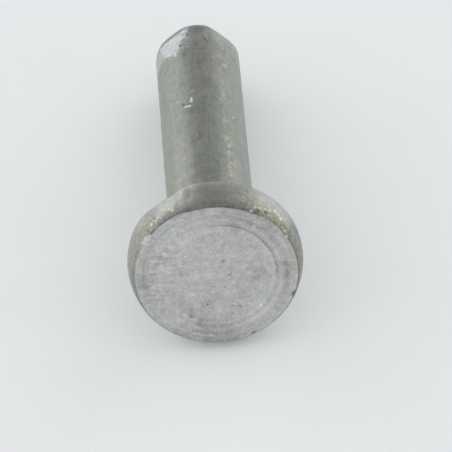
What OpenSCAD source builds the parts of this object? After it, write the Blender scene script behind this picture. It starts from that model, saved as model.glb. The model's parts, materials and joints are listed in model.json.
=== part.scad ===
// Flat head solid rivet, as supplied and not yet set.
// The head's flat face lies on Z = 0, and the shank stands on the Z axis with its tail up.

/* [Shank] */
// Diameter of the shank
shank_d = 8; // [5:0.5:12]
// Length from the bearing face to the end of the tail
shank_length = 35; // [15:1:80]

/* [Head] */
// Diameter of the head at its widest ring
head_d = 16.1; // [12:0.1:24]
// Height from the flat face to the bearing face
head_h = 3.5; // [2.8:0.1:6]
// Height of the widest ring above the flat face
widest_h = 2.4; // [1.2:0.1:3.2]
// Radius of the arc that bulges the head's wall
wall_arc_r = 5.1; // [3.5:0.1:12]

/* [Edges] */
// Rounding of the flat face's edge
face_edge_r = 0.3; // [0.1:0.05:0.8]
// Rounding of the bearing face's edge
bearing_edge_r = 0.2; // [0.05:0.05:0.5]
// Fillet between the shank and the bearing face
root_fillet_r = 0.4; // [0.1:0.1:1.5]
// Rounding of the tail's edge
tail_edge_r = 1.5; // [0.3:0.1:2.3]

/* [Cropping marks] */
// Direction of the long shallow flat, about the axis from +X
shallow_flat_turn = 235; // [0:1:359]
// Depth of the shallow flat at the end of the tail
shallow_flat_depth = 0.55; // [0.3:0.05:1]
// Angle between the shallow flat and the axis
shallow_flat_taper = 6.7; // [4:0.1:15]
// Direction of the short steep flat, about the axis from +X
steep_flat_turn = 318; // [0:1:359]
// Depth of the steep flat at the end of the tail
steep_flat_depth = 1.3; // [0.9:0.05:1.8]
// Angle between the steep flat and the axis
steep_flat_taper = 34; // [20:1:45]

/* [Hidden] */

$fn = 128;
steel = [0.62, 0.63, 0.61];
arc_step = 6;      // largest turn between two points on an arc, in degrees
cutter_spare = 1;  // how far a cutter runs on past the surface where its plane comes out

shank_r = shank_d / 2;
tail_z = head_h + shank_length;
wall_centre = [head_d / 2 - wall_arc_r, widest_h];

// Centre of an edge rounding that meets the bulged wall from inside, at height z
function edge_centre(radius, z) =
    [wall_centre[0] + sqrt(pow(wall_arc_r - radius, 2) - pow(z - widest_h, 2)), z];

// Direction from the wall's centre to a point, in degrees from +X
function wall_angle(point) =
    atan2(point[1] - wall_centre[1], point[0] - wall_centre[0]);

// Points of an arc after its first, so that it carries on from the point before it
function bend(centre, radius, from, to) =
    let (steps = ceil(abs(to - from) / arc_step))
    [for (i = [1 : steps])
        let (angle = from + (to - from) * i / steps)
        centre + radius * [cos(angle), sin(angle)]];

face_edge = edge_centre(face_edge_r, face_edge_r);
bearing_edge = edge_centre(bearing_edge_r, head_h - bearing_edge_r);
face_edge_angle = wall_angle(face_edge);
bearing_edge_angle = wall_angle(bearing_edge);

// Half section, from the flat face's centre round the head and up the shank to the tail's centre
half_section = concat(
    [[0, 0], [face_edge[0], 0]],
    bend(face_edge, face_edge_r, -90, face_edge_angle),
    bend(wall_centre, wall_arc_r, face_edge_angle, 0),
    bend(wall_centre, wall_arc_r, 0, bearing_edge_angle),
    bend(bearing_edge, bearing_edge_r, bearing_edge_angle, 90),
    [[shank_r + root_fillet_r, head_h]],
    bend([shank_r, head_h] + [1, 1] * root_fillet_r, root_fillet_r, 270, 180),
    [[shank_r, tail_z - tail_edge_r]],
    bend([shank_r, tail_z] - [1, 1] * tail_edge_r, tail_edge_r, 0, 90),
    [[0, tail_z]]
);

// Cutter for a flat that starts a depth inside the shank's wall at the tail and runs out below it
module cropping_cut(turn, depth, taper) {
    run_out = depth / sin(taper) + cutter_spare;
    rotate([0, 0, turn])
        translate([shank_r - depth, 0, tail_z])
            rotate([0, -taper, 0])
                translate([0, -shank_r, -run_out])
                    cube([shank_r, shank_d, run_out + shank_r]);
}

// The whole rivet: one upset and cropped length of wire
module rivet() {
    color(steel)
        difference() {
            rotate_extrude()
                polygon(half_section);
            cropping_cut(shallow_flat_turn, shallow_flat_depth, shallow_flat_taper);
            cropping_cut(steep_flat_turn, steep_flat_depth, steep_flat_taper);
        }
}

rivet();
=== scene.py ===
# Flat head rivet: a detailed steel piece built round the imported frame, with its stage, lamps and camera.
import json
import math

import bpy
from mathutils import Matrix, Vector


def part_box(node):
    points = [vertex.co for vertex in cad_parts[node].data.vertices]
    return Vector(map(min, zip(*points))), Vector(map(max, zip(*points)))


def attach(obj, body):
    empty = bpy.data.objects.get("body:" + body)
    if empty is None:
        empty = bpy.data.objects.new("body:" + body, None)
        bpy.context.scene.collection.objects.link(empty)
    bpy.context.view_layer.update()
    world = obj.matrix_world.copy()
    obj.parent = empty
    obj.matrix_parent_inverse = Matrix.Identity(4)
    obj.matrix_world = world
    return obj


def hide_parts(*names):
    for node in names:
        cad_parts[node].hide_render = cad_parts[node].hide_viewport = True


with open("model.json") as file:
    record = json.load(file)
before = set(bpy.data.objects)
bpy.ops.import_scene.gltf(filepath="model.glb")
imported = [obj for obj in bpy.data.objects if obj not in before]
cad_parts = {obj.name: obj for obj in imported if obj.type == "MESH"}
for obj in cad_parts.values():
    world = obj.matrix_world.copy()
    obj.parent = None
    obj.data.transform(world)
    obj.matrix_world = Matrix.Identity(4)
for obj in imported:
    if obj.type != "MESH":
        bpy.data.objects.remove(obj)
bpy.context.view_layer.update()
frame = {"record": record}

mm = 0.001
perMm = (1 / mm, 1 / mm, 1 / mm)    # turns a place in metres into millimetres

# sizes that come from the frame
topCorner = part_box("rivet")[1]
mounts = {mount["name"]: mount for mount in frame["record"]["mounts"]}
shankRadius = mounts["shank"]["dims"]["r_mm"] * mm
bearingHeight = mounts["bearing_face"]["pos_m"][2]
headRadius = topCorner.x
tailHeight = topCorner.z

rivetShape = {
    "widestHeight": 2.4 * mm,        # of the head's widest ring above the flat face
    "wallArc": 5.1 * mm,             # radius of the arc that bulges the wall
    "faceRoll": (3.0 * mm, 14),      # radius, and degrees that the flat face turns up before its edge
    "faceEdge": 0.3 * mm,            # edge roundings
    "bearingEdge": 0.2 * mm,
    "rootFillet": 0.4 * mm,
    "tailEdge": 1.5 * mm,
    "croppingFlats": [(235, 0.55 * mm, 6.7), (318, 1.3 * mm, 34)],   # direction, depth at the tail, taper
    "segments": 300,                 # round the axis
    "merge": 0.001 * mm,             # points closer than this become one
    "steps": {                       # how far apart the points of the half section are
        "face": 0.17 * mm,
        "roll": 0.12 * mm,
        "edges": 0.06 * mm,
        "wall": 0.1 * mm,
        "bearing": 0.3 * mm,
        "root": 0.12 * mm,
        "shank": 0.2 * mm,
        "tail": 0.1 * mm,
    },
}
wallCentre = Vector((headRadius - rivetShape["wallArc"], rivetShape["widestHeight"]))


def straight(points, end, spacing):
    start = points[-1]
    steps = max(1, round((Vector(end) - start).length / spacing))
    points += [start.lerp(Vector(end), i / steps) for i in range(1, steps + 1)]


def bend(points, centre, radius, first, last, spacing):
    steps = max(2, round(math.radians(abs(last - first)) * radius / spacing))
    for i in range(1, steps + 1):
        angle = math.radians(first + (last - first) * i / steps)
        points.append(Vector(centre) + radius * Vector((math.cos(angle), math.sin(angle))))


def edgeCentre(radius, height):
    reach = (rivetShape["wallArc"] - radius) ** 2 - (height - wallCentre.y) ** 2
    return Vector((wallCentre.x + math.sqrt(reach), height))


def wallAngle(point):
    return math.degrees(math.atan2(point.y - wallCentre.y, point.x - wallCentre.x))


def halfSection(shape):
    # from the flat face's middle to the tail's middle
    rollRadius, rollTurn = shape["faceRoll"]
    turn = math.radians(rollTurn)
    edgeZ = rollRadius - (rollRadius - shape["faceEdge"]) * math.cos(turn)
    faceEdge = edgeCentre(shape["faceEdge"], edgeZ)
    flatEnd = faceEdge.x - (rollRadius - shape["faceEdge"]) * math.sin(turn)
    bearingEdge = edgeCentre(shape["bearingEdge"], bearingHeight - shape["bearingEdge"])
    rootX = shankRadius + shape["rootFillet"]
    rootZ = bearingHeight + shape["rootFillet"]
    tailX = shankRadius - shape["tailEdge"]
    tailZ = tailHeight - shape["tailEdge"]
    wallStart = wallAngle(faceEdge)
    wallEnd = wallAngle(bearingEdge)
    steps = shape["steps"]
    points = [Vector((0, 0))]
    straight(points, (flatEnd, 0), steps["face"])
    bend(points, (flatEnd, rollRadius), rollRadius, -90, rollTurn - 90, steps["roll"])
    bend(points, faceEdge, shape["faceEdge"], rollTurn - 90, wallStart, steps["edges"])
    bend(points, wallCentre, shape["wallArc"], wallStart, wallEnd, steps["wall"])
    bend(points, bearingEdge, shape["bearingEdge"], wallEnd, 90, steps["edges"])
    straight(points, (bearingEdge.x - steps["wall"], bearingHeight), steps["wall"])
    straight(points, (rootX, bearingHeight), steps["bearing"])
    bend(points, (rootX, rootZ), shape["rootFillet"], 270, 180, steps["root"])
    straight(points, (shankRadius, tailZ), steps["shank"])
    bend(points, (tailX, tailZ), shape["tailEdge"], 0, 90, steps["tail"])
    straight(points, (0, tailHeight), steps["shank"])
    return points


def drawHalfSection(points, name):
    # one point, extruded step by step
    bpy.ops.object.select_all(action="DESELECT")
    bpy.ops.mesh.primitive_plane_add(size=mm)
    piece = bpy.context.object
    piece.name = name
    bpy.ops.object.mode_set(mode="EDIT")
    bpy.ops.mesh.merge(type="CENTER")
    for start, end in zip(points, points[1:]):
        step = end - start
        bpy.ops.mesh.extrude_region_move(TRANSFORM_OT_translate={"value": (step.x, 0, step.y)})
    return piece


def spinRound(shape):
    bpy.ops.mesh.select_all(action="SELECT")
    bpy.ops.mesh.spin(steps=shape["segments"], angle=math.tau, center=(0, 0, 0), axis=(0, 0, 1))
    bpy.ops.mesh.select_all(action="SELECT")
    bpy.ops.mesh.remove_doubles(threshold=shape["merge"])
    bpy.ops.mesh.normals_make_consistent(inside=False)
    bpy.ops.mesh.select_all(action="DESELECT")
    bpy.ops.object.mode_set(mode="OBJECT")


def around(direction):
    turn = math.radians(direction)
    return Vector((math.cos(turn), math.sin(turn), 0))


def flatPlane(direction, depth, taper):
    lean = math.radians(taper)
    place = around(direction) * (shankRadius - depth) + Vector((0, 0, tailHeight))
    return place, around(direction) * math.cos(lean) + Vector((0, 0, math.sin(lean)))


def flattenBeyond(piece, place, normal):
    for vertex in piece.data.vertices:
        vertex.select = (vertex.co - place).dot(normal) > 0
    side = normal.orthogonal().normalized()
    turn = Matrix((side, normal.cross(side), normal)).transposed()
    bpy.ops.object.mode_set(mode="EDIT")
    bpy.ops.transform.resize(
        value=(1, 1, 0), orient_type="GLOBAL", orient_matrix=turn, orient_matrix_type="GLOBAL",
        constraint_axis=(False, False, True), center_override=place,
    )
    bpy.ops.mesh.select_all(action="DESELECT")
    bpy.ops.object.mode_set(mode="OBJECT")


def modelRivet(shape):
    piece = drawHalfSection(halfSection(shape), "rivetSteel")
    spinRound(shape)
    for flat in shape["croppingFlats"]:
        flattenBeyond(piece, *flatPlane(*flat))
    piece.data.polygons.foreach_set("use_smooth", [True] * len(piece.data.polygons))
    print("rivet body", len(piece.data.polygons), "faces")
    return piece


# pits and knocks: direction round the axis in degrees, then millimetres

rivetWear = {
    "facePits": [
        # direction, radius, depth, reach
        (353, 2.9, 0.06, 0.2),
        (6, 1.2, 0.05, 0.17),
        (104, 1.3, 0.05, 0.17),
        (64, 1.6, 0.05, 0.17),
        (141, 4.8, 0.05, 0.18),
        (297, 1.6, 0.03, 0.2),
        (109, 3.3, 0.04, 0.22),
        (70, 3.7, 0.04, 0.2),
        (75, 4.5, 0.04, 0.2),
        (62, 4.1, 0.04, 0.17),
        (121, 5.0, 0.03, 0.18),
    ],
    "brightKnocks": [
        # direction, height, depth, reach
        (256.8, 24.4, 0.06, 0.2),
        (256.3, 23.9, 0.09, 0.22),
        (255.3, 23.4, 0.07, 0.15),
        (251.5, 23.3, 0.07, 0.2),
        (317, 22.3, 0.06, 0.2),
        (302, 0.6, 0.08, 0.26),
        (305.5, 0.85, 0.1, 0.26),
        (307.5, 0.92, 0.1, 0.26),
        (311, 1.0, 0.08, 0.26),
        (313, 1.15, 0.1, 0.3),
        (317, 1.5, 0.07, 0.3),
        (320.5, 1.4, 0.07, 0.24),
        (323, 1.15, 0.08, 0.34),
        (329, 0.4, 0.09, 0.24),
        (333, 0.12, 0.06, 0.26),
        (299, 0.08, 0.05, 0.26),
        (243, 0.8, 0.06, 0.24),
        (241, 1.1, 0.05, 0.22),
        (231, 1.1, 0.08, 0.32),
        (229, 0.9, 0.08, 0.28),
        (225, 0.9, 0.09, 0.28),
    ],
    "softKnocksAndGlints": [
        # rough places down the shank's right, with painted glints on them
        (310, 31.1, 0.015, 0.4),
        (304, 25.7, 0.03, 0.36),
        (298, 24.4, 0.02, 0.22),
        (303, 18.0, 0.02, 0.36),
        (306, 16.7, 0.02, 0.26),
        (304.5, 15.4, 0.03, 0.4),
        (305, 13.6, 0.02, 0.28),
        (302, 12.8, 0.02, 0.34),
        (303, 11.4, 0.02, 0.26),
        (258, 25.8, 0.03, 0.3),
        (236, 24.9, 0.02, 0.2),
        (250, 2.7, 0.03, 0.26),
    ],
    "darkKnocks": [
        (246, 23.85, 0.09, 0.26),
        (253, 36.6, 0.06, 0.34),
        (250, 35.4, 0.07, 0.36),
        (247, 34.5, 0.06, 0.3),
        (281, 35.0, 0.05, 0.24),
        (284, 34.7, 0.04, 0.2),
        (314, 36.6, 0.08, 0.22),
        (304, 0.45, 0.09, 0.36),
        (310, 0.6, 0.08, 0.34),
        (221, 0.62, 0.05, 0.24),
        (66, 0.12, 0.12, 0.48),
        (22, 0.15, 0.12, 0.52),
    ],
    "rimChip": [
        # where the face's edge is knocked flat, with clean metal and a painted highlight on it
        (213, 0.2, 0.04, 0.4),
        (218, 0.15, 0.05, 0.45),
    ],
}


def sideRadius(height):
    # of the wall or the shank at a height
    if height > bearingHeight:
        return shankRadius
    rise = height - wallCentre.y
    return wallCentre.x + math.sqrt(rivetShape["wallArc"] ** 2 - rise ** 2)


def knock(piece, place, push, reach):
    nearest = min(piece.data.vertices, key=lambda vertex: (vertex.co - place).length_squared)
    nearest.select = True
    bpy.ops.object.mode_set(mode="EDIT")
    bpy.ops.transform.translate(
        value=push, use_proportional_edit=True, proportional_edit_falloff="SMOOTH", proportional_size=reach,
    )
    bpy.ops.mesh.select_all(action="DESELECT")
    bpy.ops.object.mode_set(mode="OBJECT")


def onSide(direction, height):
    return around(direction) * sideRadius(height * mm) + Vector((0, 0, height * mm))


def onFace(direction, radius):
    return around(direction) * radius * mm


def knockRivet(piece, wear):
    sideKnocks = wear["brightKnocks"] + wear["softKnocksAndGlints"] + wear["darkKnocks"] + wear["rimChip"]
    for direction, radius, depth, reach in wear["facePits"]:
        knock(piece, onFace(direction, radius), Vector((0, 0, depth * mm)), reach * mm)
    for direction, height, depth, reach in sideKnocks:
        knock(piece, onSide(direction, height), -around(direction) * depth * mm, reach * mm)
    print("rivet", len(wear["facePits"]), "pits and", len(sideKnocks), "knocks")


# roughened places, pushed in by a texture: the torn wall above the face, the pressed wall at the left,
# the sheared flat's border, the tail's end and a slight unevenness of the whole skin

flatZone = 0.01 * mm    # the face stays flat up to here
roughPlaces = [
    # name, texture size in mm, depth in mm, weight of a point (direction, height, radius)
    ("tornWall", 0.3, 0.14,
     lambda turn, z, r: near(turn, 316, 22) * near(z, tornHeight(turn), 0.6) * (r > 6.5)),
    ("pressedWall", 0.4, 0.1,
     lambda turn, z, r: near(turn, 238, 26) * near(z, 1.4, 1.5) * (r > 6.5)),
    ("sheared", 0.35, 0.08,
     lambda turn, z, r: near(turn, 250, 12) * near(z, 35.6, 2.0)),
    ("tailEnd", 0.6, 0.12,
     lambda turn, z, r: near(z, 38.6, 0.6) * near(r, 0, 3.6)),
    ("skin", 2.4, 0.05,
     lambda turn, z, r: 0.6 if z < 3.5 else 1.0),
]


def near(value, middle, reach):
    return max(0.0, 1 - ((value - middle) / reach) ** 2)


def tornHeight(turn):
    # the torn band runs down to the face's edge as it goes round to the right
    return 0.9 - 0.002 * (turn - 312) ** 2


def roughen(piece, name, size, depth, weigh):
    group = piece.vertex_groups.new(name=name)
    for vertex in piece.data.vertices:
        if vertex.co.z < flatZone:
            continue
        turn = math.degrees(math.atan2(vertex.co.y, vertex.co.x)) % 360
        weight = weigh(turn, vertex.co.z / mm, vertex.co.xy.length / mm)
        if weight > 0:
            group.add([vertex.index], weight, "REPLACE")
    texture = bpy.data.textures.new(name, "CLOUDS")
    texture.noise_scale = size * mm
    texture.noise_depth = 2
    texture.noise_basis = "BLENDER_ORIGINAL"
    modifier = piece.modifiers.new(name, "DISPLACE")
    modifier.texture = texture
    modifier.texture_coords = "LOCAL"
    modifier.strength = depth * mm
    modifier.mid_level = 1.0                          # inwards only
    modifier.vertex_group = name
    bpy.context.view_layer.objects.active = piece
    bpy.ops.object.modifier_apply(modifier=name)


def roughenRivet(piece, places):
    for place in places:
        roughen(piece, *place)
        print("rivet", place[0])


class Signal:
    # a shader socket that works in Python expressions
    def __init__(self, graph, socket):
        self.graph = graph
        self.socket = socket

    def __add__(self, other):
        return self.graph.math("ADD", self, other)

    def __radd__(self, other):
        return self.graph.math("ADD", other, self)

    def __sub__(self, other):
        return self.graph.math("SUBTRACT", self, other)

    def __rsub__(self, other):
        return self.graph.math("SUBTRACT", other, self)

    def __mul__(self, other):
        return self.graph.math("MULTIPLY", self, other)

    def __rmul__(self, other):
        return self.graph.math("MULTIPLY", other, self)

    def __truediv__(self, other):
        return self.graph.math("DIVIDE", self, other)

    def __gt__(self, other):
        return self.graph.math("GREATER_THAN", self, other)

    def __lt__(self, other):
        return self.graph.math("LESS_THAN", self, other)


class Graph:
    def __init__(self, tree):
        self.tree = tree
        tree.nodes.clear()

    def node(self, kind, settings=None, inputs=None, output=0):
        made = self.tree.nodes.new(kind)
        for name, value in (settings or {}).items():
            setattr(made, name, value)
        for name, value in (inputs or {}).items():
            if isinstance(value, Signal):
                self.tree.links.new(value.socket, made.inputs[name])
            else:
                made.inputs[name].default_value = value
        return Signal(self, made.outputs[output]) if made.outputs else None

    def math(self, operation, *values):
        return self.node("ShaderNodeMath", {"operation": operation}, dict(enumerate(values)))

    def vector(self, operation, *values):
        return self.node("ShaderNodeVectorMath", {"operation": operation}, dict(enumerate(values)))

    def scale(self, vector, factor):
        return self.node("ShaderNodeVectorMath", {"operation": "SCALE"}, {0: vector, "Scale": factor})

    def measure(self, operation, first, second):
        # a number from two vectors
        return self.node("ShaderNodeVectorMath", {"operation": operation}, {0: first, 1: second}, "Value")

    def mix(self, factor, first, second):
        # of two colours
        return self.node("ShaderNodeMix", {"data_type": "RGBA"}, {0: factor, 6: first, 7: second}, 2)

    def shade(self, color, tone):
        # a colour times a tone, which may pass 1
        settings = {"data_type": "RGBA", "clamp_factor": False}
        return self.node("ShaderNodeMix", settings, {0: tone, 6: (0, 0, 0, 1), 7: color}, 2)

    def blend(self, factor, first, second):
        # of two numbers
        return self.node("ShaderNodeMix", {"data_type": "FLOAT"}, {0: factor, 2: first, 3: second}, 0)

    def rise(self, value, start, end):
        # 0 before start, 1 after end; start may be the greater
        return self.node("ShaderNodeMapRange", {"interpolation_type": "SMOOTHSTEP"}, {
            "Value": value, "From Min": start, "From Max": end,
        })

    def band(self, value, middle, reach):
        # 1 at the middle, 0 at the reach on either side
        return self.rise(self.math("ABSOLUTE", value - middle), reach, 0.0)

    def lightPath(self, name):
        return self.node("ShaderNodeLightPath", None, None, name)

    def split(self, vector):
        # into three numbers
        return [self.node("ShaderNodeSeparateXYZ", None, {0: vector}, axis) for axis in "XYZ"]

    def highest(self, masks):
        # each mask is joined as soon as it is made, because a shader holds only so many values at once
        masks = iter(masks)
        top = next(masks)
        for mask in masks:
            top = self.math("MAXIMUM", top, mask)
        return top

    def noise(self, place, scale, detail=2.0, roughness=0.5):
        return self.node("ShaderNodeTexNoise", None, {
            "Vector": place, "Scale": scale, "Detail": detail, "Roughness": roughness,
        })


def newMaterial(name):
    material = bpy.data.materials.new(name)
    material.use_nodes = True
    return material, Graph(material.node_tree)


steelFinish = {
    "shankWarm": (0.362, 0.355, 0.334, 1),
    "shankGreen": (0.316, 0.353, 0.298, 1),
    "shankBlue": (0.322, 0.346, 0.345, 1),
    "smear": (0.47, 0.51, 0.38, 1),
    "wallWarm": (0.375, 0.372, 0.345, 1),
    "wallGreen": (0.345, 0.36, 0.33, 1),
    "wallOlive": (0.385, 0.395, 0.295, 1),
    "wallBrown": (0.375, 0.35, 0.325, 1),
    "faceWarm": (0.578, 0.562, 0.558, 1),
    "faceCool": (0.555, 0.563, 0.553, 1),
    "faceBlue": (0.49, 0.51, 0.53, 1),
    "faceStraw": (0.60, 0.58, 0.52, 1),
    "cleanMetal": (0.95, 0.95, 0.91, 1),
    "yellowMetal": (0.88, 0.88, 0.72, 1),
    "sheared": (0.66, 0.67, 0.675, 1),
    "brushed": (0.54, 0.55, 0.54, 1),
    "apex": (0.24, 0.27, 0.30, 1),
    "tailLine": (0.22, 0.23, 0.235, 1),
    "grime": (0.13, 0.13, 0.12, 1),
    "shankRoughness": 0.4,
    "wallRoughness": 0.42,
    "faceRoughness": 0.55,
    "shearedRoughness": 0.32,
    "freshRoughness": 0.45,
    "freshScatter": 0.5,             # how much less metallic torn metal looks
    "bumpStrength": 0.6,
    "bumpDepth": 0.03 * mm,
}

# what the steel shows besides its noises: sides in degrees, the rest in millimetres

steelMarks = {
    "paintedWallBands": [
        # painted shade and painted highlight: change of tone, side (direction, half width, fade), middle
        # height, reach
        (-0.17, (220, 6, 6), 1.1, 0.8),
        (-0.12, (235, 5, 6), 0.6, 0.5),
        (-0.12, (298, 5, 5), 0.6, 0.5),
        (-0.16, (318, 12, 8), 0.7, 0.35),
        (0.12, (250, 5, 6), 0.6, 0.5),
        (0.3, (198, 14, 10), 0.15, 0.25),
    ],
    "paintedWallHighlights": [
        # painted highlight on the upper wall: change of tone, side, height where it starts, height where it
        # is full
        (0.36, (317, 9, 10), 0.9, 1.4),
        (0.2, (227, 11, 8), 1.4, 2.0),
        (0.1, (310, 8, 8), 1.7, 2.2),
        (0.09, (288, 12, 8), 1.5, 2.1),
    ],
    "wallUneven": [(206, 20, 16), (310, 18, 14), (352, 10, 14)],
    "faceRingsAndPaintedLight": [
        # rings, and a painted highlight and painted shade at the edge: change of tone, side, radius, reach
        (-0.12, (20, 60, 40), 6.6, 0.14),
        (-0.16, (218, 32, 16), 6.7, 0.16),
        (0.08, (112, 30, 20), 6.62, 0.16),
        (-0.06, (288, 50, 20), 6.25, 0.22),
        (0.1, (345, 30, 14), 6.84, 0.18),
        (0.05, (262, 30, 14), 6.84, 0.18),
        # painted highlight along the edge at the left
        (0.12, (196, 14, 10), 7.3, 0.2),
        # painted shade at the bottom edge, where the face reflects the shadow under the head
        (-0.08, (100, 26, 20), 7.15, 0.3),
    ],
    "paintedFaceEdges": [
        # painted light and painted shade on the rolled edge: change of tone, side, radius where it starts,
        # radius where it is full
        (0.12, (45, 24, 16), 7.0, 7.3),
        (-0.07, (295, 48, 16), 6.55, 7.35),
    ],
    "faceTints": [
        # colour, share, side, radius where it starts, radius where it is full
        ("faceBlue", 0.45, (168, 12, 14), 6.0, 6.8),
        ("faceBlue", 0.6, (40, 12, 12), 6.8, 7.3),
        ("faceStraw", 0.35, (350, 26, 16), 6.7, 7.1),
    ],
    "faceStainsAndShade": [
        # stains, and painted shade at the bottom: direction, radius, reach, how much lighter or darker
        (3, 3.9, 1.1, -0.14),
        (0, 6.2, 1.5, -0.16),
        # painted shade: the bottom of the face reflects the shadow under the head
        (92, 6.4, 2.4, -0.2),
        (180, 6.8, 1.3, -0.14),
        (205, 6.6, 1.6, -0.07),
        (120, 6.7, 1.3, -0.09),
        (88, 6.7, 0.9, 0.1),
        (0, 5.3, 0.9, 0.12),
        (14, 6.9, 1.0, -0.1),
        (110, 6.2, 1.2, -0.07),
        (195, 7.0, 0.7, -0.09),
        (170, 5.3, 1.0, 0.07),
        (290, 6.4, 2.4, -0.12),
        (318, 6.0, 2.0, -0.1),
        (225, 5.0, 1.9, 0.08),
        (50, 5.4, 1.8, 0.1),
        (182, 1.8, 1.6, 0.06),
        (190, 4.9, 1.1, 0.06),
        (120, 4.6, 1.2, -0.06),
        (109, 3.3, 0.6, -0.1),
        (72, 4.0, 1.0, -0.08),
        (108, 5.4, 0.8, -0.1),
        (123, 4.9, 0.7, -0.08),
        (297, 1.6, 0.5, -0.1),
        (20, 3.6, 0.7, -0.08),
        (45, 6.6, 0.9, 0.06),
        (290, 1.4, 1.1, 0.06),
        (90, 3.6, 0.8, 0.05),
    ],
    "faceFlecks": [
        # clean specks: direction, radius, reach
        (220, 3.5, 0.17),
        (203, 3.4, 0.2),
        (206, 3.0, 0.13),
        (242, 1.5, 0.14),
        (104, 1.9, 0.16),
        (68, 3.6, 0.2),
        (116, 6.4, 0.2),
        (99, 6.5, 0.2),
        (44, 5.3, 0.24),
        (140, 3.0, 0.2),
    ],
    "faceScratches": [
        # start and end, by direction and radius
        ((186, 6.4), (187, 5.5)),
        ((202, 6.1), (206, 5.0)),
        ((208, 4.9), (213, 4.2)),
        ((170, 6.3), (164, 4.6)),
        ((186, 3.4), (188, 2.6)),
    ],
    "tailScrapes": [
        # strokes of sheared metal: start, end, reach
        ((264, 36.4), (254, 34.2), 0.75),
        ((253, 34.0), (238, 33.1), 0.55),
    ],
    "tailGrime": [
        # strokes of grime: start, end, reach
        ((260, 36.2), (249, 34.1), 0.5),
        ((248, 34.0), (224, 33.4), 0.4),
    ],
    "brightScores": [
        # strokes of clean metal: start, end, reach
        ((257, 24.5), (256.2, 23.95), 0.17),
        ((254, 23.2), (248, 23.35), 0.17),
        ((304.5, 0.8), (309, 0.95), 0.14),
        ((311, 1.0), (314, 1.2), 0.14),
    ],
    "rimScoreAndHighlight": [
        # clean metal on the knocked rim, and a painted highlight along the edge there
        ((212.5, 0.2), (219.5, 0.12), 0.3),
    ],
}


# how fine per millimetre, how many finer layers, how strong those are

steelNoise = {
    "shankStreak": (2.0, 3.0, 0.6),
    "shankFineStreak": (7.0, 2.0, 0.6),
    "shankMottle": (0.6, 4.0, 0.6),
    "shankBlotch": (1.9, 3.0, 0.65),
    "shankGrain": (5.0, 3.0, 0.75),
    "shankTint": (1.0, 3.0, 0.6),
    "shankCold": (0.9, 3.0, 0.6),
    "smearWander": (0.8, 3.0, 0.6),
    "wallMottle": (0.8, 4.0, 0.6),
    "wallBlotch": (2.2, 3.0, 0.65),
    "wallGrain": (4.5, 3.0, 0.75),
    "wallUpright": (2.1, 3.0, 0.65),
    "wallCrumbs": (3.6, 4.0, 0.7),
    "faceMottle": (0.5, 5.0, 0.65),
    "faceBlotch": (1.5, 4.0, 0.75),
    "faceGrain": (4.6, 3.0, 0.8),
    "faceMarks": (2.6, 3.0, 0.6),
    "shearedGrain": (4.0, 4.0, 0.75),
    "shearedBlotch": (1.6, 3.0, 0.65),
    "shearedSpecks": (3.0, 3.0, 0.7),
    "tailRagged": (1.8, 5.0, 0.75),
    "tailFine": (4.2, 4.0, 0.75),
    "knockBorder": (7.0, 2.0, 0.6),
}


class Place:
    # where a point of the rivet is, in millimetres
    def __init__(self, graph):
        self.graph = graph
        self.metres = graph.node("ShaderNodeTexCoord", None, None, "Object")
        self.mm = self.stretched(1, 1, 1)
        # the same as a plain vector, which measuring nodes take without a conversion each
        self.point = graph.vector("MULTIPLY", self.metres, perMm)
        self.x, self.y, self.z = graph.split(self.point)
        self.radius = graph.math("SQRT", self.x * self.x + self.y * self.y)
        self.side = graph.vector("NORMALIZE", graph.vector("MULTIPLY", self.point, (1, 1, 0)))

    def stretched(self, x, y, z, shift=(0, 0, 0)):
        # the place in millimetres, stretched along each axis and shifted
        return self.graph.node("ShaderNodeMapping", None, {
            "Vector": self.metres, "Scale": (x / mm, y / mm, z / mm), "Location": shift,
        })

    def noise(self, name, stretch=None):
        # about 0, and seldom past 0.3 to either side
        return self.graph.noise(stretch or self.mm, *steelNoise[name]) - 0.5

    def facing(self, direction):
        # cosine of the angle between the side that a point lies on and a direction round the axis
        return self.graph.measure("DOT_PRODUCT", self.side, tuple(around(direction)))

    def sector(self, direction, halfWidth, fade=6):
        # 1 within the half width of a direction round the axis, fading out over a few degrees more
        inside = math.cos(math.radians(halfWidth))
        outside = math.cos(math.radians(halfWidth + fade))
        return self.graph.rise(self.facing(direction), outside, inside)

    def beyond(self, flat):
        # distance outwards from a cropping flat
        at, normal = flatPlane(*flat)
        away = self.graph.vector("SUBTRACT", self.point, tuple(at / mm))
        return self.graph.measure("DOT_PRODUCT", away, tuple(normal))

    def softEdge(self, gap, reach):
        # 1 in the inner third of the reach, 0 past it
        return self.graph.rise(gap, reach, reach * 0.35)

    def spot(self, at, reach, border):
        # 1 near a place, with an uneven border
        gap = self.graph.measure("DISTANCE", self.point, tuple(at / mm))
        return self.softEdge(gap + border, reach)

    def stroke(self, start, end, reach, border):
        # 1 along a straight mark between two places
        along = (end - start) / mm
        away = self.graph.vector("SUBTRACT", self.point, tuple(start / mm))
        part = self.graph.measure("DOT_PRODUCT", away, tuple(along)) / along.length_squared
        part = self.graph.math("MINIMUM", self.graph.math("MAXIMUM", part, 0.0), 1.0)
        gap = self.graph.measure("DISTANCE", away, self.graph.scale(tuple(along), part))
        return self.softEdge(gap + border, reach)

    def changes(self, rows, shape, along):
        # sum of changes of tone, each on one side only
        return sum(shape(along, first, second) * self.sector(*side) * change
                   for change, side, first, second in rows)

    def knocks(self, rows, border, share=1.0):
        # where the knocks on the side are
        return self.graph.highest((
            self.spot(onSide(direction, height), reach * share, border)
            for direction, height, depth, reach in rows
        ))

    def strokes(self, rows, border):
        # where the strokes on the side are
        return self.graph.highest((
            self.stroke(onSide(*start), onSide(*end), reach, border)
            for start, end, reach in rows
        ))


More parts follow.
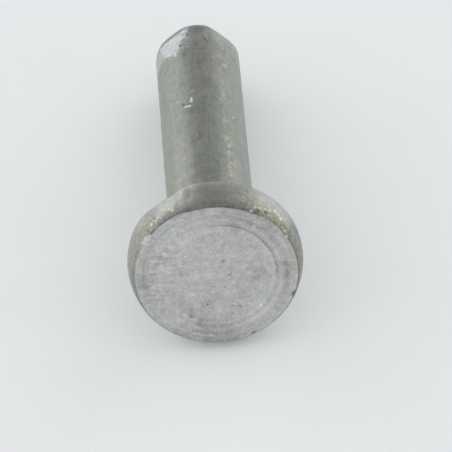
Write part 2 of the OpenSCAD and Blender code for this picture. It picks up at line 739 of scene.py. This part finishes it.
def shankPattern(graph, place, finish):
    drawn = place.stretched(1, 1, 0.06)
    streak = place.noise("shankStreak", drawn)
    fineStreak = place.noise("shankFineStreak", drawn)
    mottle = place.noise("shankMottle")
    blotch = place.noise("shankBlotch", place.stretched(1, 1, 0.6))
    grain = place.noise("shankGrain")
    tint = graph.rise(place.noise("shankTint"), -0.1, 0.1)
    color = graph.mix(tint, finish["shankWarm"], finish["shankGreen"])
    cold = graph.rise(place.noise("shankCold"), 0.04, 0.14)
    color = graph.mix(cold, color, finish["shankBlue"])
    # a pale smear down the right, from the head up to the tail
    smearSide = around(304)
    across = place.x * smearSide.y - place.y * smearSide.x
    smear = graph.band(across + place.noise("smearWander") * 1.4, 0.0, 0.55) * (place.x > 0)
    smear = smear * graph.rise(place.z, 8.5, 11) * graph.rise(place.z, 33, 22)
    color = graph.mix(smear * graph.rise(blotch, -0.04, 0.1) * 0.7, color, finish["smear"])
    nearTail = graph.rise(place.z, 31.5, 34.0)
    tone = 1.01 + streak * 0.32 + fineStreak * 0.32 + mottle * 0.35
    tone = tone + blotch * (0.46 + nearTail * 0.4) + grain * (0.78 + nearTail * 0.4)
    # lighter near the head, a painted light that lifts the darker reflection of the head there; lighter too
    # towards the tail end
    tone = tone + graph.rise(place.z, 9.0, 4.0) * 0.12 + graph.rise(place.z, 33.8, 36.2) * 0.2
    roughness = finish["shankRoughness"] + mottle * 0.15 + fineStreak * 0.15
    height = fineStreak * 0.4 + grain * 0.3 + blotch * 0.3
    return graph.shade(color, tone), roughness, height


def wallPattern(graph, place, finish, marks):
    mottle = place.noise("wallMottle")
    blotch = place.noise("wallBlotch")
    grain = place.noise("wallGrain")
    upright = place.noise("wallUpright", place.stretched(1, 1, 0.4))
    onWall = graph.rise(place.z, 3.45, 3.2)
    # two damaged places: torn above the face at the right, pressed at the left
    torn = place.sector(315, 12, 9) * graph.band(place.z, 0.75, 0.85)
    pressedLow = place.sector(234, 11, 8) * graph.band(place.z, 1.0, 0.9)
    pressed = place.sector(247, 11, 9) * graph.rise(place.z, 0.6, 1.3) * onWall
    color = graph.mix(graph.rise(mottle, -0.1, 0.1), finish["wallWarm"], finish["wallGreen"])
    brown = place.sector(200, 18, 12) * graph.rise(blotch, -0.05, 0.08) * 0.6
    color = graph.mix(brown, color, finish["wallBrown"])
    color = graph.mix(graph.highest([torn, pressedLow * 0.45]) * 0.8, color, finish["wallOlive"])
    uneven = graph.highest((place.sector(*side) for side in marks["wallUneven"]))
    tone = 1 + mottle * 0.3 + blotch * (0.35 + uneven * 0.55) + grain * (0.8 + uneven * 0.5)
    tone = tone + upright * (onWall * 0.3 + pressed * 0.7) + pressed * 0.34
    # painted highlight and painted shade by side and height, on top of the metal's own mottle: lighter
    # upper wall at the left and right, bands across the lower wall, darker at the far right and lighter at
    # two narrow sides
    tone = tone + place.changes(marks["paintedWallHighlights"], graph.rise, place.z) * onWall
    tone = tone + place.changes(marks["paintedWallBands"], graph.band, place.z)
    tone = tone - place.sector(352, 10, 8) * (0.07 + graph.rise(place.z, 1.4, 2.0) * 0.15)
    tone = tone + place.sector(205, 8, 10) * 0.06
    tone = tone + place.sector(262, 4, 5) * graph.rise(place.z, 2.0, 1.5) * 0.08
    # painted shade: darker towards the face, and darkest under its top edge
    lowShadeLine = graph.highest([place.sector(240, 18, 10), place.sector(270, 30, 10) * 0.6])
    tone = tone - graph.rise(place.z, 1.0, 0.4) * 0.1
    tone = tone - graph.band(place.z, 0.2, 0.3) * (0.12 + lowShadeLine * 0.14)
    tone = tone - graph.rise(place.z, 0.16, 0.1) * place.sector(278, 20, 16) * 0.24
    color = graph.shade(color, tone)
    # crumbs of clean metal in the torn and pressed places
    crumb = graph.rise(place.noise("wallCrumbs"), 0.07, 0.13)
    color = graph.mix(crumb * graph.highest([torn, pressedLow]) * 0.75, color, finish["yellowMetal"])
    roughness = finish["wallRoughness"] + mottle * 0.15 - pressed * 0.06
    height = grain * 0.4 + blotch * 0.4 + upright * 0.3
    return color, roughness, height


def facePattern(graph, place, finish, marks, wear):
    shifted = place.stretched(1, 1, 1, (3.7, 8.3, 1.3))     # noise is too even round the origin
    mottle = place.noise("faceMottle", shifted)
    blotch = place.noise("faceBlotch", shifted)
    grain = place.noise("faceGrain", shifted)
    rings = graph.node("ShaderNodeTexNoise", {"noise_dimensions": "1D"}, {
        "W": place.radius, "Scale": 2.6, "Detail": 3.0, "Roughness": 0.7,
    }) - 0.5
    ringsHere = graph.rise(place.radius, 4.8, 6.0) * place.sector(20, 90, 30)
    # the sharpest ring and the pale one inside it are a little off the middle
    offCentre = place.radius - place.x * 0.035
    ring = graph.band(offCentre, 5.34, 0.15) * place.sector(312, 40, 18)
    paleRing = graph.band(offCentre, 4.9, 0.5) * place.sector(285, 55, 20)
    # fine marks that run in from the left
    fineMarks = place.noise("faceMarks", place.stretched(0.22, 1, 0))
    marksHere = place.sector(186, 22, 20) * graph.band(place.radius, 5.0, 2.8)
    scratchBorder = blotch * 0.1
    scratch = graph.highest((
        place.stroke(onFace(*start), onFace(*end), 0.1, scratchBorder)
        for start, end in marks["faceScratches"]
    ))
    color = graph.mix(graph.rise(mottle, -0.08, 0.08), finish["faceWarm"], finish["faceCool"])
    for name, share, side, start, full in marks["faceTints"]:
        tinted = place.sector(*side) * graph.rise(place.radius, start, full) * share
        color = graph.mix(tinted, color, finish[name])
    tone = 1.02 + mottle * 0.55 + blotch * 0.85 + grain * 0.8 + rings * (0.14 + ringsHere * 0.5)
    tone = tone + fineMarks * marksHere
    stainBorder = mottle * 1.1 + blotch * 0.5
    for direction, radius, reach, change in marks["faceStainsAndShade"]:
        tone = tone + place.spot(onFace(direction, radius), reach, stainBorder) * change
    tone = tone - ring * 0.23 + paleRing * 0.09 - scratch * 0.16
    tone = tone + place.changes(marks["faceRingsAndPaintedLight"], graph.band, place.radius)
    tone = tone + place.changes(marks["paintedFaceEdges"], graph.rise, place.radius)
    pitBorder = grain * 0.3
    pits = graph.highest((
        place.spot(onFace(direction, radius), reach * 0.85, pitBorder)
        for direction, radius, depth, reach in wear["facePits"]
    ))
    flecks = graph.highest((
        place.spot(onFace(direction, radius), reach, pitBorder)
        for direction, radius, reach in marks["faceFlecks"]
    ))
    tone = tone * (1 - pits * 0.3) + flecks * 0.26
    roughness = finish["faceRoughness"] + mottle * 0.15 + pits * 0.1
    height = grain * 0.4 + blotch * 0.2 + fineMarks * 0.2 - ring * 0.5
    return graph.shade(color, tone), roughness, height


def shearedPattern(graph, place, finish):
    grain = place.noise("shearedGrain")
    blotch = place.noise("shearedBlotch")
    specks = graph.rise(place.noise("shearedSpecks"), -0.06, -0.14) * place.sector(257, 6, 6)
    tone = 1 + grain * 0.5 + blotch * 0.6 - specks * 0.55
    roughness = finish["shearedRoughness"] + grain * 0.2
    return graph.shade(finish["sheared"], tone), roughness, grain * 0.3


def steelMaterial(finish, marks, wear):
    material, graph = newMaterial("bareSteel")
    place = Place(graph)
    color, roughness, height = shankPattern(graph, place, finish)

    def lay(mask, pattern):
        nonlocal color, roughness, height
        color = graph.mix(mask, color, pattern[0])
        roughness = graph.blend(mask, roughness, pattern[1])
        height = graph.blend(mask, height, pattern[2])

    def paint(mask, paintColor):
        nonlocal color
        color = graph.mix(mask, color, paintColor)

    lay(graph.rise(place.z, 3.9, 3.4), wallPattern(graph, place, finish, marks))
    faceEnd = 7.42 - place.sector(278, 18, 16) * 0.17
    onFlatFace = graph.rise(place.z, 0.2, 0.11) * graph.rise(place.radius - faceEnd, 0.03, -0.03)
    lay(onFlatFace, facePattern(graph, place, finish, marks, wear))

    # the shallow flat is clean sheared metal with a ragged border, and the skin left of it is rubbed
    ragged = place.noise("tailRagged") * 0.4
    fine = place.noise("tailFine")
    atTail = graph.rise(place.z, 30.0, 31.0)
    rounded = graph.rise(place.radius + ragged, 3.0, 3.5)
    rubbed = place.sector(212, 16, 14) * graph.rise(place.z + ragged * 2, 33.7, 34.5) * rounded
    paint(rubbed * (0.75 + ragged), graph.shade(finish["brushed"], 1 + ragged + fine * 0.6))
    onFlat = graph.rise(place.beyond(rivetShape["croppingFlats"][0]) + ragged, -0.12, -0.04) * atTail
    lay(onFlat, shearedPattern(graph, place, finish))
    scraped = place.strokes(marks["tailScrapes"], ragged)
    paint(scraped * graph.rise(fine, -0.02, 0.07) * 0.5, finish["sheared"])
    crushed = place.strokes(marks["tailGrime"], ragged)
    paint(crushed * graph.rise(fine, -0.03, -0.1) * 0.65, finish["grime"])
    # darker where the two flats meet, and in a line round the end's edge that dips to both sides
    apex = place.sector(270, 6, 10) * graph.rise(place.z + ragged, 34.7, 37.0) * rounded
    paint(apex * (0.55 + ragged * 0.6), graph.shade(finish["apex"], 1 + fine))
    turned = 1 - place.facing(250)
    tailLine = graph.rise(place.z + turned * turned * 9.9 + fine * 0.2, 37.15, 37.5)
    tailLine = tailLine * place.sector(236, 24, 24) * rounded
    paint(tailLine * (0.85 + ragged), graph.shade(finish["tailLine"], 1 + fine))

    # fresh metal in some knocks, grime in others, painted glints on the soft knocks and a painted highlight
    # on the knocked rim
    border = place.noise("knockBorder") * 0.35
    fresh = place.knocks(wear["brightKnocks"], border, 0.8)
    fresh = graph.highest((fresh, place.strokes(marks["brightScores"], border)))
    soft = place.knocks(wear["softKnocksAndGlints"], border)
    rim = place.strokes(marks["rimScoreAndHighlight"], border)
    dirty = place.knocks(wear["darkKnocks"], border)
    dirty = graph.highest((dirty, place.spot(onSide(251, 22.3), 0.9, border) * 0.3))
    lowYellow = graph.mix(graph.rise(place.z, 30.0, 15.0), finish["cleanMetal"], finish["yellowMetal"])
    paint(dirty * 0.7, finish["grime"])
    # painted highlight along the knocked rim, in the colour of clean metal
    paint(rim * 0.42, finish["cleanMetal"])
    # painted glints on the soft knocks
    paint(soft * 0.25, finish["yellowMetal"])
    paint(fresh, graph.mix(graph.rise(place.z, 5.0, 4.0), finish["cleanMetal"], lowYellow))
    roughness = graph.blend(graph.highest([fresh, rim]), roughness, finish["freshRoughness"])

    normal = graph.node("ShaderNodeBump", None, {
        "Strength": finish["bumpStrength"], "Distance": finish["bumpDepth"], "Height": height,
    })
    surface = graph.node("ShaderNodeBsdfPrincipled", None, {
        "Base Color": color,
        "Metallic": 1 - fresh * finish["freshScatter"],
        "Roughness": roughness,
        "Normal": normal,
    })
    graph.node("ShaderNodeOutputMaterial", None, {"Surface": surface})
    print("bare steel", len(material.node_tree.nodes), "nodes")
    return material


# stage: a floor that shows from above, and a sheet of paper that shows from below the floor

stageValues = {
    "paper": (0.86, 0.885, 0.895, 1),
    "glowShare": 0.12,               # how much of the paper's look is its own plain colour
    "sheetGain": 0.33,               # how much brighter the upright paper is shown than it lights
    "paperGrain": (2.4, 3.0, 0.7),   # how fine per millimetre, how many finer layers, how strong those are
    "grainDepth": 0.07,
    "paperClouds": (0.12, 2.0),
    "cloudDepth": 0.05,
    "floorDrop": 0.01 * mm,          # keeps the floor clear of the flat face
    "floorSize": 8.0,
    "paperSize": 1.6,
    "horizon": (0.80, 0.83, 0.84, 1),
    "bright": 1.0,                   # the room's walls and ceiling
    "low": 0.68,                     # what comes from below the floor
    "dim": 0.42,                     # its dim side, which faces the sheet of paper
}
lampValues = [
    # name, towards the lamp, strength, width in degrees
    ("leftLamp", (-0.8, -0.5, 0.45), 0.32, 60),
    ("rightLamp", (0.8, -0.5, 0.45), 0.42, 60),
]


def paperMaterial(name, fromBelow, values):
    # one-sided, and there only for what is seen from its own side of the floor
    material, graph = newMaterial(name)
    crossed = graph.lightPath("Transparent Depth") > 1.5
    front = 1 - graph.node("ShaderNodeNewGeometry", None, None, "Backfacing")
    if fromBelow:
        x, y, z = graph.split(graph.node("ShaderNodeNewGeometry", None, None, "Position"))
        shown = front * graph.math("MAXIMUM", crossed, z < 0)
    else:
        shown = front * (1 - crossed)
    seen = graph.math("MAXIMUM", graph.lightPath("Is Camera Ray"), graph.lightPath("Is Glossy Ray"))
    place = graph.vector("MULTIPLY", graph.node("ShaderNodeTexCoord", None, None, "Object"), perMm)
    grain = graph.noise(place, *values["paperGrain"]) - 0.5
    clouds = graph.noise(place, *values["paperClouds"]) - 0.5
    gain = 1 + seen * (values["sheetGain"] if fromBelow else 0.0)
    gain = gain + grain * values["grainDepth"] + clouds * values["cloudDepth"]
    sheet = graph.node("ShaderNodeBsdfDiffuse", None, {"Color": graph.shade(values["paper"], gain)})
    glow = graph.node("ShaderNodeEmission", None, {"Color": values["paper"], "Strength": 1.0})
    paper = graph.node("ShaderNodeMixShader", None, {0: seen * values["glowShare"], 1: sheet, 2: glow})
    clear = graph.node("ShaderNodeBsdfTransparent", None, {"Color": (1, 1, 1, 1)})
    mixed = graph.node("ShaderNodeMixShader", None, {0: shown, 1: clear, 2: paper})
    graph.node("ShaderNodeOutputMaterial", None, {"Surface": mixed})
    return material


def addSheet(name, size, place, normal, fromBelow, values):
    turn = Vector(normal).to_track_quat("Z", "Y").to_euler()
    bpy.ops.mesh.primitive_plane_add(size=size, location=place, rotation=turn)
    sheet = bpy.context.object
    sheet.name = name
    sheet.data.materials.append(paperMaterial(name, fromBelow, values))


def addStage(values):
    # two layers, so that a view through the floor crosses twice and one through the paper only once
    drop = Vector((0, 0, -values["floorDrop"]))
    addSheet("floor", values["floorSize"], drop, (0, 0, 1), False, values)
    addSheet("floorUnderside", values["floorSize"], drop * 2, (0, 0, 1), False, values)
    # the paper touches the head's wall and the tail's edge
    tail = Vector((shankRadius - rivetShape["tailEdge"], tailHeight - rivetShape["tailEdge"]))
    between = tail - wallCentre
    lean = math.atan2(-between.x, between.y)
    lean += math.asin((rivetShape["wallArc"] - rivetShape["tailEdge"]) / between.length)
    away = Vector((0, math.cos(lean), math.sin(lean)))
    reach = wallCentre.x * away.y + wallCentre.y * away.z + rivetShape["wallArc"]
    addSheet("paperSheet", values["paperSize"], away * reach, -away, True, values)
    print("floor and paper, leaning", round(math.degrees(lean), 1), "degrees")


def addLamps(values):
    for name, towards, strength, width in values:
        turn = Vector(towards).to_track_quat("Z", "Y").to_euler()
        bpy.ops.object.light_add(type="SUN", rotation=turn)
        lamp = bpy.context.object
        lamp.name = name
        lamp.data.energy = strength
        lamp.data.angle = math.radians(width)
    print("lamps", len(values))


def addWorld(values):
    # an even room, dimmer behind the paper and below the floor
    world = bpy.data.worlds.new("studio")
    bpy.context.scene.world = world
    world.use_nodes = True
    graph = Graph(world.node_tree)
    x, y, z = graph.split(graph.node("ShaderNodeTexCoord", None, None, "Generated"))
    dim = graph.rise(x * 0.2 - y, 0.15, 0.5) * graph.rise(z, -0.35, 0.0)
    walls = graph.blend(graph.rise(z, -0.6, 0.1), values["low"], values["bright"])
    strength = graph.blend(dim, walls, values["dim"])
    room = graph.node("ShaderNodeBackground", None, {"Color": (1, 1, 1, 1), "Strength": strength})
    horizon = graph.node("ShaderNodeBackground", None, {"Color": values["horizon"], "Strength": 1.0})
    seen = graph.lightPath("Is Camera Ray")
    mixed = graph.node("ShaderNodeMixShader", None, {0: seen, 1: room, 2: horizon})
    graph.node("ShaderNodeOutputWorld", None, {"Surface": mixed})
    print("world", world.name)


# camera: looks at the flat face from in front, a little above the side that the rivet lies on

cameraValues = {
    "lens": 521.4,               # millimetres, on a 36 mm sensor
    "distance": 595.6 * mm,      # from the middle of the flat face
    "tilt": 33.46,               # degrees between the view line and the rivet's axis
    "lean": 5.07,                # degrees that the shank leans to the left in the view
    "aimRight": 0.86 * mm,       # middle of the view, from the middle of the flat face
    "aimUp": 4.46 * mm,
}


def addCamera(values):
    tilt = math.radians(values["tilt"])
    lean = math.radians(values["lean"])
    back = Vector((0, -math.sin(tilt), -math.cos(tilt)))      # from the face to the camera
    across = Vector((1, 0, 0))
    along = back.cross(across)                                # the shank's direction in the view
    right = across * math.cos(lean) - along * math.sin(lean)
    up = across * math.sin(lean) + along * math.cos(lean)
    place = back * values["distance"]
    aim = right * values["aimRight"] + up * values["aimUp"]
    back = (place - aim).normalized()
    right = up.cross(back).normalized()
    up = back.cross(right)
    bpy.ops.object.camera_add(location=place)
    camera = bpy.context.object
    camera.rotation_euler = Matrix((right, up, back)).transposed().to_euler()
    camera.data.lens = values["lens"]
    camera.data.clip_start = 10 * mm
    bpy.context.scene.camera = camera
    print("camera", round(place.length / mm), "mm away")


addCamera(cameraValues)
addStage(stageValues)
addLamps(lampValues)
addWorld(stageValues)
rivet = modelRivet(rivetShape)
knockRivet(rivet, rivetWear)
roughenRivet(rivet, roughPlaces)
rivet.data.materials.append(steelMaterial(steelFinish, steelMarks, rivetWear))
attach(rivet, "root")
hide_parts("rivet")

bpy.context.scene.view_settings.view_transform = "Standard"
